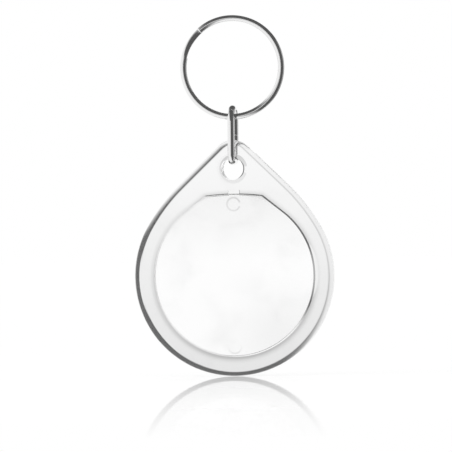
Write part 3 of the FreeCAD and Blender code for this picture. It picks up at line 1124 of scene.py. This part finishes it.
@dataclass
class Studio:
    """The floor, the lamps, the world and the camera.

    Attributes:
        picture_px: The picture's width and height.
        scale_px: Pixels of the picture to a metre of the object.
        origin_row_px: The origin's pixel row.
        holder_column_px: The pixel column of the holder's middle.
        azimuth: The camera's turn to the object's right, in degrees.
        distance: From the camera to the object.
        roll: The camera's own roll, in degrees.
        sensor: Width of its sensor, in mm.
        floor_size: Half the floor's width.
        floor_gloss: Share of its mirror image under the object.
        gloss_start: How far in front of the object that image begins.
        shade_reach: Distances from the origin between which the floor's own shading fades out.
        shade_fading: How much of it is gone at the nearer one.
        backdrop_colour: White paper.
        floor_colour: The floor's own colour.
        dark_colour: The unlit side of the room, as metal and plastic see it.
        wall_angles: Edge and core of the pale wall in front, where flat faces mirror it.
        wall_foot: Heights of a look, as its z, between which the wall gets its full light.
        foot_light: Its light below them.
        paper_angles: Edge and core of the paper behind.
        paper_angles_in_metal: The same, as metal mirrors it.
        lights: More paper straight behind, the lit table behind, the light at the lower left, and a
            weaker one behind at the right.
        lights_in_plastic: The white room that plastic shows all round, but for a dark field behind, to
            the right of the paper, which draws the dark lines along its rims.
        lamps: The lamps.
    """

    picture_px: float = 452
    scale_px: float = 4.18 / MM
    origin_row_px: float = 21.15
    holder_column_px: float = 234.0
    azimuth: float = 8.0
    distance: float = 1.2
    roll: float = 0.66
    sensor: float = 36.0
    floor_size: float = 4.0
    floor_gloss: float = 0.55
    gloss_start: float = 0.35
    shade_reach: tuple[float, float] = (0.09, 0.3)
    shade_fading: float = 0.7
    backdrop_colour: str = "#FFFFFF"
    floor_colour: str = "#F4F4F4"
    dark_colour: str = "#585858"
    wall_angles: tuple[float, float] = (9.0, 5.0)
    wall_foot: tuple[float, float] = (-0.04, 0.02)
    foot_light: float = 0.6
    paper_angles: tuple[float, float] = (9.5, 4.0)
    paper_angles_in_metal: tuple[float, float] = (26.0, 20.0)
    lights: tuple[Patch, ...] = (
        Patch((0, 1, 0), 3.6, 2.2),
        Patch((0, 0.6, -0.8), 45.6, 31.8),
        Patch((-0.843, 0, -0.537), 87.1, 66.4),
        Patch((0.848, 0.53, 0), 36, 28, strength=0.5),
    )
    lights_in_plastic: tuple[Patch, ...] = (
        Patch((0, -1, 0), 95, 75),
        Patch((1, 0, 0), 54, 46),
        Patch((0, 0, 1), 45, 30),
        Patch((0, 0, -1), 75, 65),
    )
    lamps: tuple[SoftLamp, ...] = (
        SoftLamp("left_soft_lamp", (-0.6, -0.35, 0.3), 0.5, 4),
        SoftLamp("right_soft_lamp", (0.6, -0.5, 0.4), 0.5, 2),
    )

    def build_camera(self) -> bpy.types.Object:
        """Place the camera so that its picture shows the object as the photograph does.

        Returns:
            The camera.
        """
        centre_px = self.picture_px / 2
        height = (self.origin_row_px - centre_px) / self.scale_px
        aside = (centre_px - self.holder_column_px) / self.scale_px
        turn = math.radians(self.azimuth)
        right = Vector((math.cos(turn), math.sin(turn), 0))
        toward = Vector((-math.sin(turn), math.cos(turn), 0))
        place = right * aside + UP * height - toward * self.distance
        bpy.ops.object.camera_add(location=place, rotation=(math.radians(90), math.radians(self.roll), turn))
        camera = bpy.context.object
        camera.data.sensor_width = self.sensor
        camera.data.lens = self.sensor * self.distance * self.scale_px / self.picture_px
        camera.data.clip_end = 50
        bpy.context.scene.camera = camera
        return camera

    def build_world(self) -> bpy.types.World:
        """Surround it with white paper behind, a pale wall in front, soft lights and a dark room.

        Returns:
            The world.
        """
        world = bpy.data.worlds.new("white_studio")
        bpy.context.scene.world = world
        tree = new_tree(world)
        towards = add_node(tree, "ShaderNodeTexCoord").outputs["Generated"]
        path = add_node(tree, "ShaderNodeLightPath").outputs
        turn = math.radians(self.azimuth)
        ahead, aside = math.cos(turn), math.sin(turn)
        behind, in_front = (-aside, ahead, 0), (-aside, -ahead, 0)

        height = add_node(tree, "ShaderNodeSeparateXYZ", {0: towards}).outputs["Z"]
        foot = add_node(
            tree,
            "ShaderNodeMapRange",
            {
                "Value": height,
                "From Min": self.wall_foot[0],
                "From Max": self.wall_foot[1],
                "To Min": self.foot_light,
                "To Max": 1.0,
            },
        ).outputs[0]
        # each patch, with the share of it that a look sees
        lights = [(patch, 1.0) for patch in (Patch(behind, *self.paper_angles), *self.lights)]
        lights += [
            (Patch(in_front, *self.wall_angles), foot),
            (Patch(behind, *self.paper_angles_in_metal), path["Is Reflection Ray"]),
        ]
        lights += [(patch, path["Is Transmission Ray"]) for patch in self.lights_in_plastic]
        bright = 0.0
        for patch, share in lights:
            light = add_node(
                tree, "ShaderNodeMath", {0: patch.build(tree, towards), 1: share}, operation="MULTIPLY"
            ).outputs[0]
            bright = add_node(tree, "ShaderNodeMath", {0: bright, 1: light}, operation="MAXIMUM").outputs[0]
        room = add_node(
            tree,
            "ShaderNodeMix",
            {"Factor": bright, "A": linear(self.dark_colour), "B": linear(self.backdrop_colour)},
            data_type="RGBA",
        )
        in_object = add_node(
            tree,
            "ShaderNodeMath",
            {0: path["Is Glossy Ray"], 1: path["Is Transmission Ray"]},
            operation="MAXIMUM",
        ).outputs[0]
        colour = add_node(
            tree,
            "ShaderNodeMix",
            {
                "Factor": in_object,
                "A": linear(self.backdrop_colour),
                "B": room.outputs["Result"],
            },
            data_type="RGBA",
        )
        background = add_node(
            tree, "ShaderNodeBackground", {"Color": colour.outputs["Result"], "Strength": 1.0}
        )
        add_node(tree, "ShaderNodeOutputWorld", {"Surface": background.outputs[0]})
        return world

    def floor_sheet(self) -> bpy.types.Material:
        """Make the floor's sheet: plain white away from the object, and glossy under it.

        Returns:
            The material.
        """
        material = bpy.data.materials.new("glossy_white_sheet")
        tree = new_tree(material)
        place = add_node(tree, "ShaderNodeTexCoord").outputs["Object"]
        from_camera = add_node(tree, "ShaderNodeLightPath").outputs["Is Camera Ray"]
        near = add_node(
            tree,
            "ShaderNodeMapRange",
            {
                "Value": add_node(tree, "ShaderNodeSeparateXYZ", {0: place}).outputs["Y"],
                "From Min": -self.gloss_start,
                "From Max": 0.0,
                "To Max": self.floor_gloss,
            },
        ).outputs[0]
        reach = add_node(tree, "ShaderNodeVectorMath", {0: place}, operation="LENGTH").outputs["Value"]
        plain = add_node(
            tree,
            "ShaderNodeMapRange",
            {
                "Value": reach,
                "From Min": self.shade_reach[0],
                "From Max": self.shade_reach[1],
                "To Min": self.shade_fading,
                "To Max": 1.0,
            },
        ).outputs[0]
        paper = add_node(
            tree, "ShaderNodeBsdfPrincipled", {"Base Color": linear(self.floor_colour), "Roughness": 0.5}
        ).outputs[0]
        white = add_node(
            tree, "ShaderNodeEmission", {"Color": linear(self.backdrop_colour), "Strength": 1.0}
        ).outputs[0]
        seen = add_node(tree, "ShaderNodeMath", {0: from_camera, 1: plain}, operation="MULTIPLY").outputs[0]
        lit = add_node(tree, "ShaderNodeMixShader", {0: seen, 1: paper, 2: white}).outputs[0]
        gloss = add_node(
            tree, "ShaderNodeBsdfGlossy", {"Color": linear(self.backdrop_colour), "Roughness": 0.02}
        ).outputs[0]
        share = add_node(tree, "ShaderNodeMath", {0: near, 1: from_camera}, operation="MULTIPLY").outputs[0]
        surface = add_node(tree, "ShaderNodeMixShader", {0: share, 1: lit, 2: gloss}).outputs[0]
        add_node(tree, "ShaderNodeOutputMaterial", {"Surface": surface})
        return material

    def build_floor(self) -> bpy.types.Object:
        """Lay a pale glossy floor under the holder.

        Returns:
            The floor.
        """
        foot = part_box("front_frame")[0].z
        bpy.ops.mesh.primitive_plane_add(size=2 * self.floor_size, location=(0, 0, foot))
        bpy.ops.object.transform_apply(location=True, rotation=True, scale=True)
        floor = bpy.context.object
        floor.name = floor.data.name = "floor"
        floor.data.materials.append(self.floor_sheet())
        floor.visible_glossy = floor.visible_transmission = False
        return floor

    def build(self) -> None:
        """Set up the whole studio."""
        bpy.context.scene.view_settings.view_transform = "Standard"
        self.build_camera()
        self.build_world()
        self.build_floor()
        for lamp in self.lamps:
            lamp.build()


def main() -> None:
    """Build every piece and the studio round them."""
    logging.basicConfig(level=logging.INFO, format="%(name)s: %(message)s")
    pieces = [SplitRing().build(), Link().build(), *Holder().build()]
    Studio().build()
    log.info("%d pieces", len(pieces))


if __name__ == "__main__":
    main()
